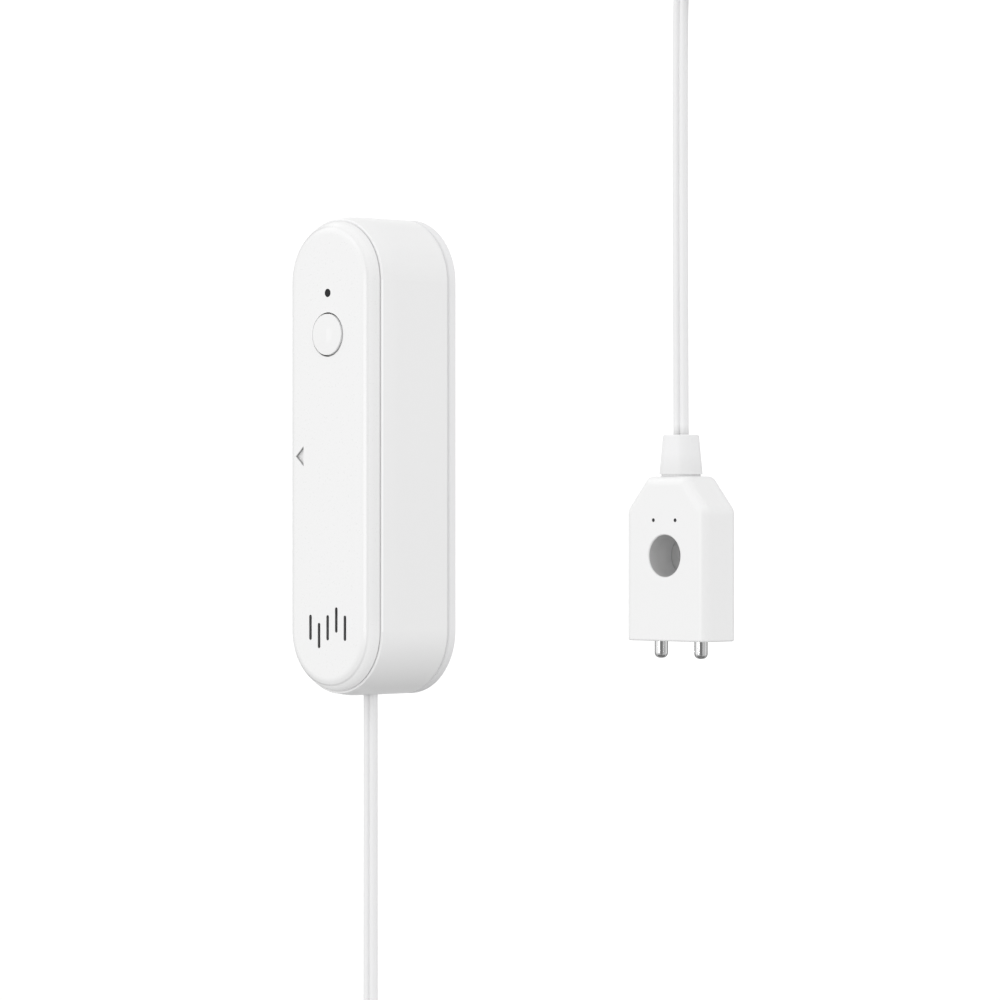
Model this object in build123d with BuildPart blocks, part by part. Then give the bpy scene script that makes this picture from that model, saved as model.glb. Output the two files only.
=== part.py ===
# Water leak detector: a battery housing that sticks to a wall, a flat twin cord and a
# probe with two contact pins. All sizes are in millimetres.
# X runs to the right along the wall, Y into the wall, Z up. The origin is on the wall,
# behind the middle of the detector, on the back of its adhesive pad.
import os
from math import pi, radians, sqrt, tan

from build123d import *

# The detector is an obround seen from the front. Its cells set its width, and its height
# is their bay with room above and below it.
body_depth = 21.6
top_room = 24.7
bottom_room = 16.3
edge_round = 0.35
plate_front_round = 0.6
plate_back_round = 0.3
housing_round = 0.8

# Wall side
pad_thickness = 0.6
pad_inset = 1.8
plate_thickness = 1.8
key_width = 11.0
key_height = 52.0
key_depth = 0.7
key_clearance = 0.1

# Housing shell
housing_wall = 1.45
rim_wall = 0.95
rim_inset = 0.45
rim_taper_depth = 3.0
rim_taper_round = 10.0
rim_edge_round = 0.2
rear_wall = 1.5
ledge_depth = 2.45
post_radius = 2.0
post_height = 1.2
post_from_side = 4.9
post_from_top = 18.0
post_from_bottom = 10.5
pilot_radius = 0.6

# Front cover: a little smaller than the housing, with a wide arched edge that the flat
# face cuts at a soft crease
cover_depth = 2.6
cover_inset = 0.89
cover_round = 3.0
cover_face_cut = 0.11
cover_crease_round = 1.5
cover_wall = 1.5
seam_gap = 0.16
lip_clearance = 0.2
lip_thickness = 1.0
seal_height = 0.7
seal_clearance = 0.05

# Test button and its guide in the cover
button_from_top = 22.0
button_radius = 3.82
button_gap = 0.3
button_proud = 0.35
button_crown = 0.15
button_travel = 0.6
button_clearance = 0.05
flange_width = 0.9
flange_thickness = 0.7
stem_radius = 1.4
guide_gap = 0.25
guide_wall = 0.8
guide_depth = 1.6

# Indicator window and the light pipe behind it
window_from_top = 14.3
window_radius = 0.78
window_recess = 0.12
pipe_clearance = 0.03
pipe_radius = 1.1
pipe_flange_radius = 1.7
pipe_flange_thickness = 0.8
led_gap = 0.4

# Pointer mark, a shallow triangle at the left edge of the face
mark_from_side = 3.5
mark_width = 2.1
mark_height = 3.75
mark_depth = 0.6

# Sound slots: every second one is stepped down or up
slot_count = 5
slot_length = 4.7
slot_width = 0.7
slot_pitch = 2.31
slot_step = 1.48
slots_from_bottom = 12.7
mesh_thickness = 0.2
mesh_margin = 0.9

# Circuit board and what stands on it
board_inset = 2.2
board_thickness = 1.0
board_hole_radius = 0.8
screw_head_radius = 1.5
screw_head_height = 0.9
screw_length = 3.0
switch_size = 4.5
switch_body_height = 3.5
switch_plunger_radius = 1.0
switch_plunger_height = 1.05
led_width = 1.6
led_length = 0.8
led_height = 0.7
module_width = 11.0
module_height = 7.6
module_from_top = 8.5
module_board = 0.8
shield_height = 2.2
shield_inset = 0.8
buzzer_radius = 4.5
buzzer_height = 7.5
buzzer_port_radius = 1.0
buzzer_from_bottom = 11.5
terminal_width = 6.4
terminal_length = 3.0
terminal_from_bottom = 5.0
terminal_margin = 1.3

# Two AAA cells side by side, one up and one down
cell_radius = 5.25
cell_length = 44.5
cell_tip_radius = 1.9
cell_tip_height = 0.8
cell_gap = 0.2
cell_clearance = 0.1
cell_side_gap = 0.05
tray_floor = 0.8
tray_end_wall = 1.0
tray_side_gap = 0.15
tray_open_height = 2.5
tray_wall_rise = 3.0
contact_thickness = 0.3
contact_width = 7.0
contact_bow = 0.9
contact_bow_width = 4.0

# Flat twin cord: two round cores side by side along X
cord_width = 3.1
cord_thickness = 1.55
cord_bore_clearance = 0.05
grommet_wall = 0.8
grommet_flange = 0.9
grommet_flange_thickness = 0.8
grommet_recess = 0.25

# Put-away coil of the cord, below the detector, and its tie
coil_x = 16.5
coil_z = -127.0
coil_radius = 16.5
coil_radial = 4.4
coil_across = 6.4
coil_round = 1.5
coil_turns = 3.25
lead_end_above_coil = 6.5
tie_wall = 0.7
tie_width = 4.0
tie_clearance = 0.1

# Cord hooks on the wall, above the probe
hook_spacing = 54.0
hook_z = 92.0
hook_barrel_radius = 9.3
hook_flange_radius = 12.5
hook_base_thickness = 2.0
hook_lip_thickness = 1.6
hook_reach = 16.0
hook_round = 0.7
hook_clearance = 0.1
hook_sag = 1.15

# Probe: body, pins, screw hole and boot
probe_x = 78.1
probe_top_z = -4.0
probe_width = 18.8
probe_depth = 8.8
probe_height = 28.8
shoulder_width = 4.9
shoulder_height = 5.8
shoulder_foot_round = 2.5
probe_round = 1.65
probe_foot_round = 0.35
shoulder_round = 1.5
screw_hole_radius = 2.0
head_recess_radius = 3.7
head_recess_depth = 6.0
head_recess_below_top = 13.9
recess_rim_chamfer = 0.15
pin_radius = 1.18
pin_spacing = 9.35
pin_length = 3.1
pin_seat_depth = 8.0
pin_clearance = 0.02
dot_radius = 0.32
dot_spacing = 5.12
dot_below_top = 7.67
dot_depth = 1.2
dot_recess = 0.15
boot_height = 7.3
boot_base_width = 7.1
boot_base_depth = 6.5
boot_base_round = 2.5
boot_top_width = 5.9
boot_top_depth = 5.4
boot_top_round = 2.1
boot_groove = 0.35

# Width and height, from the cells outwards
bay_length = cell_length + 2 * contact_thickness + contact_bow
body_width = 2 * (2 * cell_radius + cell_gap / 2 + cell_side_gap + housing_wall)
body_height = bottom_room + 2 * tray_end_wall + bay_length + top_room

# Heights along Z, from the middle of the body
top_z = body_height / 2
bottom_z = -body_height / 2
post_x = body_width / 2 - post_from_side
post_top_z = top_z - post_from_top
post_bottom_z = bottom_z + post_from_bottom
button_z = top_z - button_from_top
window_z = top_z - window_from_top
module_z = top_z - module_from_top
slots_z = bottom_z + slots_from_bottom
buzzer_z = bottom_z + buzzer_from_bottom
terminal_z = bottom_z + terminal_from_bottom
mark_tip_x = mark_from_side - body_width / 2

# Depths along Y, from the wall forwards
plate_back_y = -pad_thickness
housing_back_y = plate_back_y - plate_thickness
face_y = plate_back_y - body_depth
seam_y = face_y + cover_depth
rim_y = seam_y + seam_gap
ledge_y = rim_y + ledge_depth
seal_front_y = ledge_y - seal_height
lip_end_y = seal_front_y - seal_clearance
cover_inner_y = face_y + cover_wall
cavity_back_y = housing_back_y - rear_wall
board_back_y = cavity_back_y - post_height
board_front_y = board_back_y - board_thickness
cord_y = plate_back_y - body_depth / 2 + 0.3
cell_y = board_front_y - tray_floor - cell_radius - cell_clearance

# Battery bay along Z and X
bay_bottom_z = bottom_z + bottom_room + tray_end_wall
bay_top_z = bay_bottom_z + bay_length
cell_x = cell_radius + cell_gap / 2
tray_half_width = body_width / 2 - housing_wall - tray_side_gap

# The button is held between the cover and the switch
switch_top_y = board_front_y - switch_body_height - switch_plunger_height
stem_end_y = switch_top_y - button_travel - button_clearance
flange_front_y = cover_inner_y + button_clearance
flange_back_y = flange_front_y + flange_thickness
button_hole_radius = button_radius + button_gap
guide_radius = button_radius + flange_width + guide_gap

# Probe heights
probe_bottom_z = probe_top_z - probe_height
head_recess_z = probe_top_z - head_recess_below_top
probe_front_y = cord_y - probe_depth / 2
boot_top_z = probe_top_z + boot_height

# Where the cord runs round the hooks
hook_bend = hook_barrel_radius + cord_width / 2 + hook_clearance
hook_rise = 1.03 * hook_bend
hook_left_x = probe_x + hook_bend
hook_right_x = hook_left_x + hook_spacing


def front_plane(y):
    """A plane parallel to the wall, with its own up along Z, facing the room."""
    return Plane(origin=(0, y, 0), x_dir=(1, 0, 0), z_dir=(0, -1, 0))


def level_plane(x, y, z):
    """A level plane at a point, facing up."""
    return Plane(origin=(x, y, z), x_dir=(1, 0, 0), z_dir=(0, 0, 1))


def around(place):
    """A thin range round a place, to pick the edges that lie there."""
    return place - 0.01, place + 0.01


def outline(inset):
    """The detector's obround outline, drawn in the current sketch, smaller by inset."""
    SlotOverall(body_height - 2 * inset, body_width - 2 * inset, rotation=90)


# Adhesive pad on the wall
with BuildPart() as adhesive_pad:
    with BuildSketch(front_plane(0)):
        outline(pad_inset)
    extrude(amount=pad_thickness)

# Back plate, with a raised key that the housing locates on
with BuildPart() as back_plate:
    with BuildSketch(front_plane(plate_back_y)):
        outline(0)
    extrude(amount=plate_thickness)
    fillet(back_plate.edges().group_by(Axis.Y)[0], plate_front_round)
    fillet(back_plate.edges().group_by(Axis.Y)[-1], plate_back_round)
    with BuildSketch(front_plane(housing_back_y)):
        SlotOverall(key_height, key_width, rotation=90)
    extrude(amount=key_depth)

# Housing: deep tray with a ledge for the seal, board posts and the cord's hole
post_places = [(x, z) for x in (-post_x, post_x) for z in (post_bottom_z, post_top_z)]
with BuildPart() as housing:
    with BuildSketch(front_plane(housing_back_y)):
        outline(0)
    extrude(amount=housing_back_y - rim_y - rim_taper_depth)
    with BuildSketch(front_plane(rim_y + rim_taper_depth)):
        outline(0)
    with BuildSketch(front_plane(rim_y)):
        outline(rim_inset)
    loft(ruled=True)
    fillet(housing.edges().filter_by_position(Axis.Y, *around(rim_y + rim_taper_depth)), rim_taper_round)
    fillet(housing.edges().group_by(Axis.Y)[-1], housing_round)
    fillet(housing.edges().group_by(Axis.Y)[0], rim_edge_round)
    with BuildSketch(front_plane(cavity_back_y)):
        outline(housing_wall)
    extrude(amount=cavity_back_y - rim_y, mode=Mode.SUBTRACT)
    with BuildSketch(front_plane(ledge_y)):
        outline(rim_wall)
    extrude(amount=ledge_depth, mode=Mode.SUBTRACT)
    with BuildSketch(front_plane(housing_back_y)):
        SlotOverall(key_height + 2 * key_clearance, key_width + 2 * key_clearance, rotation=90)
    extrude(amount=key_depth + key_clearance, mode=Mode.SUBTRACT)
    with BuildSketch(front_plane(cavity_back_y)):
        with Locations(*post_places):
            Circle(post_radius)
    extrude(amount=post_height)
    with BuildSketch(front_plane(board_back_y)):
        with Locations(*post_places):
            Circle(pilot_radius)
    extrude(amount=-screw_length, mode=Mode.SUBTRACT)
    grommet_width = cord_width + 2 * (cord_bore_clearance + grommet_wall)
    grommet_thickness = cord_thickness + 2 * (cord_bore_clearance + grommet_wall)
    with BuildSketch(level_plane(0, cord_y, bottom_z - housing_wall)):
        SlotOverall(grommet_width, grommet_thickness)
    extrude(amount=3 * housing_wall, mode=Mode.SUBTRACT)

# Seal on the housing's ledge
seal_width = housing_wall - rim_wall - seal_clearance
with BuildPart() as cover_seal:
    with BuildSketch(front_plane(ledge_y)):
        outline(rim_wall + seal_clearance)
        SlotOverall(
            body_height - 2 * (rim_wall + seal_clearance + seal_width),
            body_width - 2 * (rim_wall + seal_clearance + seal_width),
            rotation=90,
            mode=Mode.SUBTRACT,
        )
    extrude(amount=seal_height)

# Front cover: rounded face with a lip that enters the housing
lip_outer = rim_wall + lip_clearance
lip_inner = lip_outer + lip_thickness
slot_places = [
    ((i - (slot_count - 1) / 2) * slot_pitch, slots_z + slot_step * (0, -1, 0, 1)[i % 4])
    for i in range(slot_count)
]
with BuildPart() as front_cover:
    with BuildSketch(front_plane(seam_y + cover_round)):
        outline(cover_inset)
    extrude(amount=cover_round + cover_depth + cover_face_cut)
    fillet(front_cover.edges().group_by(Axis.Y)[0], cover_round)
    split(bisect_by=front_plane(face_y), keep=Keep.BOTTOM)
    split(bisect_by=front_plane(seam_y), keep=Keep.TOP)
    fillet(front_cover.edges().group_by(Axis.Y)[0], cover_crease_round)
    with BuildSketch(front_plane(lip_end_y)):
        outline(lip_outer)
    extrude(amount=lip_end_y - seam_y)
    with BuildSketch(front_plane(lip_end_y)):
        outline(lip_inner)
    extrude(amount=lip_end_y - cover_inner_y, mode=Mode.SUBTRACT)
    with BuildSketch(front_plane(cover_inner_y + guide_depth)):
        with Locations((0, button_z)):
            Circle(guide_radius + guide_wall)
            Circle(guide_radius, mode=Mode.SUBTRACT)
    extrude(amount=guide_depth)
    with BuildSketch(front_plane(cover_inner_y)):
        with Locations((0, button_z)):
            Circle(button_hole_radius)
        with Locations((0, window_z)):
            Circle(window_radius)
        with Locations(*slot_places):
            SlotOverall(slot_length, slot_width, rotation=90)
    extrude(amount=cover_wall, mode=Mode.SUBTRACT)
    with BuildSketch(front_plane(face_y + mark_depth)):
        Polygon(
            (mark_tip_x, 0),
            (mark_tip_x + mark_width, -mark_height / 2),
            (mark_tip_x + mark_width, mark_height / 2),
            align=None,
        )
    extrude(amount=mark_depth, mode=Mode.SUBTRACT)

# Fine mesh glued behind the sound slots
with BuildPart() as dust_mesh:
    with BuildSketch(front_plane(cover_inner_y + mesh_thickness)):
        with Locations((0, slots_z)):
            RectangleRounded(
                (slot_count - 1) * slot_pitch + slot_width + 2 * mesh_margin,
                slot_length + 2 * slot_step + 2 * mesh_margin,
                mesh_margin,
            )
    extrude(amount=mesh_thickness)

# Test button: crowned cap, retaining flange and a long stem
with BuildPart() as test_button:
    with BuildSketch(Plane.YZ):
        with BuildLine():
            cap_front_y = face_y - button_proud
            Polyline(
                (cap_front_y, button_z),
                (stem_end_y, button_z),
                (stem_end_y, button_z + stem_radius),
                (flange_back_y, button_z + stem_radius),
                (flange_back_y, button_z + button_radius + flange_width),
                (flange_front_y, button_z + button_radius + flange_width),
                (flange_front_y, button_z + button_radius),
                (cap_front_y + button_crown, button_z + button_radius),
            )
            RadiusArc(
                (cap_front_y + button_crown, button_z + button_radius),
                (cap_front_y + button_crown / 2, button_z + button_radius - button_crown / 2),
                button_crown,
            )
            TangentArc(
                (cap_front_y, button_z),
                (cap_front_y + button_crown / 2, button_z + button_radius - button_crown / 2),
                tangent=(0, 1),
            )
        make_face()
    revolve(axis=Axis((0, 0, button_z), (0, 1, 0)))

# Light pipe from the window to the indicator on the board
led_front_y = board_front_y - led_height
with BuildPart() as light_pipe:
    with BuildSketch(front_plane(led_front_y - led_gap)):
        with Locations((0, window_z)):
            Circle(pipe_radius)
    extrude(amount=led_front_y - led_gap - cover_inner_y)
    with BuildSketch(front_plane(cover_inner_y + pipe_flange_thickness)):
        with Locations((0, window_z)):
            Circle(pipe_flange_radius)
    extrude(amount=pipe_flange_thickness)
    with BuildSketch(front_plane(cover_inner_y)):
        with Locations((0, window_z)):
            Circle(window_radius - pipe_clearance)
    extrude(amount=cover_wall - window_recess)

# Circuit board with its screw holes
with BuildPart() as circuit_board:
    with BuildSketch(front_plane(board_back_y)):
        outline(board_inset)
        with Locations(*post_places):
            Circle(board_hole_radius, mode=Mode.SUBTRACT)
    extrude(amount=board_thickness)

# Four pan head screws hold the board on its posts
with BuildPart() as board_screws:
    with BuildSketch(front_plane(board_front_y)):
        with Locations(*post_places):
            Circle(screw_head_radius)
    extrude(amount=screw_head_height)
    with BuildSketch(front_plane(board_front_y)):
        with Locations(*post_places):
            Circle(pilot_radius)
    extrude(amount=-screw_length)

# Tactile switch under the button
with BuildPart() as tact_switch:
    with BuildSketch(front_plane(board_front_y)):
        with Locations((0, button_z)):
            Rectangle(switch_size, switch_size)
    extrude(amount=switch_body_height)
    with BuildSketch(front_plane(board_front_y - switch_body_height)):
        with Locations((0, button_z)):
            Circle(switch_plunger_radius)
    extrude(amount=switch_plunger_height)

# Indicator on the board
with BuildPart() as indicator_led:
    with BuildSketch(front_plane(board_front_y)):
        with Locations((0, window_z)):
            Rectangle(led_width, led_length)
    extrude(amount=led_height)

# Radio module: small board with a shield can
with BuildPart() as radio_module:
    with BuildSketch(front_plane(board_front_y)):
        with Locations((0, module_z)):
            Rectangle(module_width, module_height)
    extrude(amount=module_board)
    with BuildSketch(front_plane(board_front_y - module_board)):
        with Locations((0, module_z)):
            RectangleRounded(module_width - 2 * shield_inset, module_height - 2 * shield_inset, 0.5)
    extrude(amount=shield_height)

# Buzzer behind the sound slots
with BuildPart() as buzzer:
    with BuildSketch(front_plane(board_front_y)):
        with Locations((0, buzzer_z)):
            Circle(buzzer_radius)
    extrude(amount=buzzer_height)
    fillet(buzzer.edges().group_by(Axis.Y)[0], edge_round)
    with BuildSketch(front_plane(board_front_y - buzzer_height)):
        with Locations((0, buzzer_z)):
            Circle(buzzer_port_radius)
    extrude(amount=-buzzer_port_radius, mode=Mode.SUBTRACT)

# Terminal block that the cord's end is clamped in
with BuildPart() as cord_terminal:
    with BuildSketch(front_plane(board_front_y)):
        with Locations((0, terminal_z)):
            RectangleRounded(terminal_width, terminal_length, edge_round)
    extrude(amount=board_front_y - (cord_y - cord_thickness / 2 - terminal_margin))

# Battery tray: two cradles between end walls
with BuildPart() as battery_tray:
    with BuildSketch(level_plane(0, 0, bay_bottom_z)):
        with Locations((0, (board_front_y + cell_y + tray_open_height) / 2)):
            Rectangle(2 * tray_half_width, board_front_y - cell_y - tray_open_height)
        with Locations((-cell_x, cell_y), (cell_x, cell_y)):
            Circle(cell_radius + cell_clearance, mode=Mode.SUBTRACT)
    extrude(amount=bay_top_z - bay_bottom_z)
    with BuildSketch(level_plane(0, 0, bay_bottom_z), level_plane(0, 0, bay_top_z + tray_end_wall)):
        with Locations((0, (board_front_y + cell_y - tray_wall_rise) / 2)):
            Rectangle(2 * tray_half_width, board_front_y - cell_y + tray_wall_rise)
    extrude(amount=-tray_end_wall)


def make_cell(name, x, base_z, up):
    """One AAA cell with its raised tip, standing from base_z, tip up or down."""
    foot = level_plane(x, cell_y, base_z)
    if not up:
        foot = Plane(origin=(x, cell_y, base_z + cell_length), x_dir=(1, 0, 0), z_dir=(0, 0, -1))
    with BuildPart() as cell:
        with BuildSketch(foot):
            Circle(cell_radius)
        extrude(amount=cell_length - cell_tip_height)
        fillet(cell.edges(), edge_round)
        with BuildSketch(foot.offset(cell_length - cell_tip_height)):
            Circle(cell_tip_radius)
        extrude(amount=cell_tip_height)
    cell.part.label = name
    export_step(cell.part, f"parts/{name}.step")
    return cell.part


# Plain contacts at the cells' tips, bowed contacts at their flat ends
tip_planes = [
    level_plane(-cell_x, cell_y, bay_top_z - contact_thickness),
    level_plane(cell_x, cell_y, bay_bottom_z),
]
with BuildPart() as tip_contacts:
    with BuildSketch(*tip_planes):
        RectangleRounded(contact_width, contact_width, edge_round)
    extrude(amount=contact_thickness)


# A plate on the tray's end wall with a bow that presses on the cell
flat_ends = [(-cell_x, bay_bottom_z, 1), (cell_x, bay_top_z, -1)]
with BuildPart() as flat_end_contacts:
    for x, wall_z, direction in flat_ends:
        with BuildSketch(Plane(origin=(x, cell_y, wall_z), x_dir=(1, 0, 0), z_dir=(0, 0, direction))):
            RectangleRounded(contact_width, contact_width, edge_round)
        extrude(amount=contact_thickness)
        bow_plane = Plane(
            origin=(x, cell_y + contact_bow_width / 2, wall_z + direction * contact_thickness),
            x_dir=(direction, 0, 0),
            z_dir=(0, -1, 0),
        )
        with BuildSketch(bow_plane):
            with BuildLine():
                half_bow = contact_width / 2
                inner_bow = half_bow - 2 * contact_thickness
                ThreePointArc((-half_bow, 0), (0, contact_bow), (half_bow, 0))
                Line((half_bow, 0), (inner_bow, 0))
                ThreePointArc((inner_bow, 0), (0, contact_bow - contact_thickness), (-inner_bow, 0))
                Line((-inner_bow, 0), (-half_bow, 0))
            make_face()
        extrude(amount=contact_bow_width)

# Grommet: a sleeve just inside the housing's underside, with a flange on the curved wall
flange_half = grommet_width / 2 + grommet_flange
cavity_end_radius = body_width / 2 - housing_wall
grommet_foot_z = bottom_z + grommet_recess
flange_foot_z = bottom_z + body_width / 2 - sqrt(cavity_end_radius**2 - flange_half**2)
with BuildPart() as cord_grommet:
    with BuildSketch(level_plane(0, cord_y, grommet_foot_z)):
        SlotOverall(grommet_width, grommet_thickness)
    extrude(amount=flange_foot_z - grommet_foot_z)
    with BuildSketch(level_plane(0, cord_y, flange_foot_z)):
        SlotOverall(2 * flange_half, grommet_thickness + 2 * grommet_flange)
    extrude(amount=grommet_flange_thickness)
    with BuildSketch(level_plane(0, cord_y, grommet_foot_z)):
        SlotOverall(cord_width + 2 * cord_bore_clearance, cord_thickness + 2 * cord_bore_clearance)
    extrude(amount=flange_foot_z + grommet_flange_thickness - grommet_foot_z, mode=Mode.SUBTRACT)

# Cord, first stretch: straight down from the terminal block into the coil
lead_top_z = terminal_z - terminal_length / 2
lead_end_z = coil_z + lead_end_above_coil
with BuildPart() as cord_lower:
    with BuildSketch(level_plane(0, cord_y, lead_end_z)):
        SlotOverall(cord_width, cord_thickness)
    extrude(amount=lead_top_z - lead_end_z)

# Cord, second stretch: the coil as one ring
with BuildPart() as cord_coil:
    with BuildSketch(level_plane(coil_x, cord_y, coil_z)):
        with Locations((coil_radius, 0)):
            RectangleRounded(coil_radial, coil_across, coil_round)
    revolve(axis=Axis((coil_x, cord_y, coil_z), (0, 1, 0)))

# Tie round the coil's right side
tie_x = coil_x + coil_radius
tie_hole_width = coil_radial + 2 * tie_clearance + 0.5
tie_hole_across = coil_across + 2 * tie_clearance
with BuildPart() as coil_tie:
    with BuildSketch(level_plane(tie_x, cord_y, coil_z - tie_width / 2)):
        RectangleRounded(tie_hole_width + 2 * tie_wall, tie_hole_across + 2 * tie_wall, coil_round)
        RectangleRounded(tie_hole_width, tie_hole_across, coil_round - tie_wall, mode=Mode.SUBTRACT)
    extrude(amount=tie_width)

# Cord, third stretch, chosen by hand: out of the coil's foot, a sag, up the wall, over
# both hooks and straight down to the probe
upper_route = [
    (coil_x + 2, coil_z - coil_radius),
    (40.0, coil_z - 19.0),
    (66.0, coil_z - 26.0),
    (96.0, coil_z - 27.0),
    (124.0, coil_z - 14.0),
    (145.0, coil_z + 12.0),
    (154.0, coil_z + 50.0),
    (157.6, coil_z + 98.0),
    (158.2, coil_z + 146.0),
    (156.8, coil_z + 190.0),
    (hook_right_x + hook_bend, hook_z + hook_rise),
    ((hook_left_x + hook_right_x) / 2, hook_z + hook_rise - hook_sag),
    (probe_x, hook_z + hook_rise),
    (probe_x, boot_top_z),
]


def route_radii(points):
    """Bend radius at each corner: as large as its two runs allow."""
    radii = []
    for before, corner, after in zip(points, points[1:], points[2:]):
        first = Vector(*corner) - Vector(*before)
        second = Vector(*after) - Vector(*corner)
        half_turn = radians(first.get_angle(second)) / 2
        radii.append(0.45 * min(first.length, second.length) / tan(half_turn))
    return radii


upper_points = [(x, cord_y, z) for x, z in upper_route]
upper_radii = route_radii(upper_points)
hook_corners = (len(upper_radii) - 3, len(upper_radii) - 1)
for corner in hook_corners:
    upper_radii[corner] = min(upper_radii[corner], hook_bend)
print("bend radii:", [round(r, 1) for r in upper_radii])
with BuildPart() as cord_upper:
    with BuildLine() as upper_path:
        upper_line = FilletPolyline(*upper_points, radius=upper_radii)
    with BuildSketch(Plane(origin=upper_line @ 0, x_dir=(0, 1, 0), z_dir=upper_line % 0)):
        SlotOverall(cord_width, cord_thickness, rotation=90)
    sweep()
section_area = (cord_width - cord_thickness) * cord_thickness + pi * cord_thickness**2 / 4
path_length = sum(edge.length for edge in upper_path.edges())
print("upper cord volume over section times length:", cord_upper.part.volume / section_area / path_length)
cord_length = (bottom_z - coil_z) + coil_turns * 2 * pi * coil_radius + path_length
print("whole cord outside the housing:", round(cord_length, 1))


def make_hook(name, x):
    """A spool shaped cord hook on the wall, turned about an axis along Y."""
    with BuildPart() as hook:
        with BuildSketch(Plane(origin=(x, 0, hook_z), x_dir=(0, -1, 0), z_dir=(1, 0, 0))):
            with BuildLine():
                Polyline(
                    (0, 0),
                    (0, hook_flange_radius),
                    (hook_base_thickness, hook_flange_radius),
                    (hook_base_thickness + hook_round * 2, hook_barrel_radius),
                    (hook_reach - hook_lip_thickness - hook_round, hook_barrel_radius),
                    (hook_reach - hook_lip_thickness, hook_flange_radius - hook_round),
                    (hook_reach, hook_flange_radius - hook_round),
                    (hook_reach, 0),
                    close=True,
                )
            make_face()
        revolve(axis=Axis((x, 0, hook_z), (0, 1, 0)))
        fillet(hook.edges().group_by(Axis.Y)[0], hook_round)
    hook.part.label = name
    export_step(hook.part, f"parts/{name}.step")
    return hook.part


# Probe boot: tapered, rounded block moulded over the cord's end, with a groove at its foot
with BuildPart() as probe_boot:
    with BuildSketch(level_plane(probe_x, cord_y, probe_top_z)):
        RectangleRounded(
            boot_base_width - 2 * boot_groove,
            boot_base_depth - 2 * boot_groove,
            boot_base_round - boot_groove,
        )
    extrude(amount=boot_groove)
    with BuildSketch(level_plane(probe_x, cord_y, probe_top_z + boot_groove)):
        RectangleRounded(boot_base_width, boot_base_depth, boot_base_round)
    with BuildSketch(level_plane(probe_x, cord_y, boot_top_z)):
        RectangleRounded(boot_top_width, boot_top_depth, boot_top_round)
    loft()
    fillet(probe_boot.edges().group_by(Axis.Z)[-1], edge_round)

# Probe body: block with cut shoulders, a recessed screw hole and seats for its contacts
pin_places = [(-pin_spacing / 2, 0), (pin_spacing / 2, 0)]
recess_plane = Plane(origin=(probe_x, probe_front_y, head_recess_z), x_dir=(1, 0, 0), z_dir=(0, -1, 0))
dot_places = [(probe_x + side * dot_spacing / 2, probe_top_z - dot_below_top) for side in (-1, 1)]
with BuildPart() as probe_body:
    with BuildSketch(front_plane(cord_y + probe_depth / 2)):
        with BuildLine():
            half = probe_width / 2
            uncut_z = probe_bottom_z - 2 * probe_round
            Polyline(
                (probe_x - half, uncut_z),
                (probe_x - half, probe_top_z - shoulder_height),
                (probe_x - half + shoulder_width, probe_top_z),
                (probe_x + half - shoulder_width, probe_top_z),
                (probe_x + half, probe_top_z - shoulder_height),
                (probe_x + half, uncut_z),
                close=True,
            )
        make_face()
    extrude(amount=probe_depth)
    upright = probe_body.edges().filter_by(Axis.Y)
    fillet(upright.sort_by(Axis.Z)[2:4], shoulder_foot_round)
    fillet(probe_body.edges().filter_by(Axis.Y).sort_by(Axis.Z)[-2:], shoulder_round)
    fillet(probe_body.edges().group_by(Axis.Y)[0] + probe_body.edges().group_by(Axis.Y)[-1], probe_round)
    split(bisect_by=level_plane(probe_x, cord_y, probe_bottom_z), keep=Keep.TOP)
    fillet(probe_body.edges().group_by(Axis.Z)[0], probe_foot_round)
    with Locations(recess_plane):
        CounterBoreHole(screw_hole_radius, head_recess_radius, head_recess_depth)
    with BuildSketch(level_plane(probe_x, cord_y, probe_bottom_z)):
        with Locations(*pin_places):
            Circle(pin_radius + pin_clearance)
    extrude(amount=pin_seat_depth, mode=Mode.SUBTRACT)
    with BuildSketch(front_plane(probe_front_y)):
        with Locations(*dot_places):
            Circle(dot_radius + pin_clearance)
    extrude(amount=-dot_depth, mode=Mode.SUBTRACT)
    circles = probe_body.edges().filter_by(GeomType.CIRCLE)
    mouth = circles.filter_by(lambda e: abs(e.radius - head_recess_radius) < 0.01)
    chamfer(mouth.sort_by(Axis.Y)[0], recess_rim_chamfer)


def make_pin(name, x):
    """A round contact pin with a domed tip."""
    with BuildPart() as pin:
        with BuildSketch(level_plane(x, cord_y, probe_bottom_z - pin_length)):
            Circle(pin_radius)
        extrude(amount=pin_length + pin_seat_depth)
        fillet(pin.edges().group_by(Axis.Z)[0], pin_radius * 0.8)
    pin.part.label = name
    export_step(pin.part, f"parts/{name}.step")
    return pin.part


# Two small drip contacts in the probe's front
with BuildPart() as drip_contacts:
    with BuildSketch(front_plane(probe_front_y + dot_depth)):
        with Locations(*dot_places):
            Circle(dot_radius)
    extrude(amount=dot_depth - dot_recess)

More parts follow.
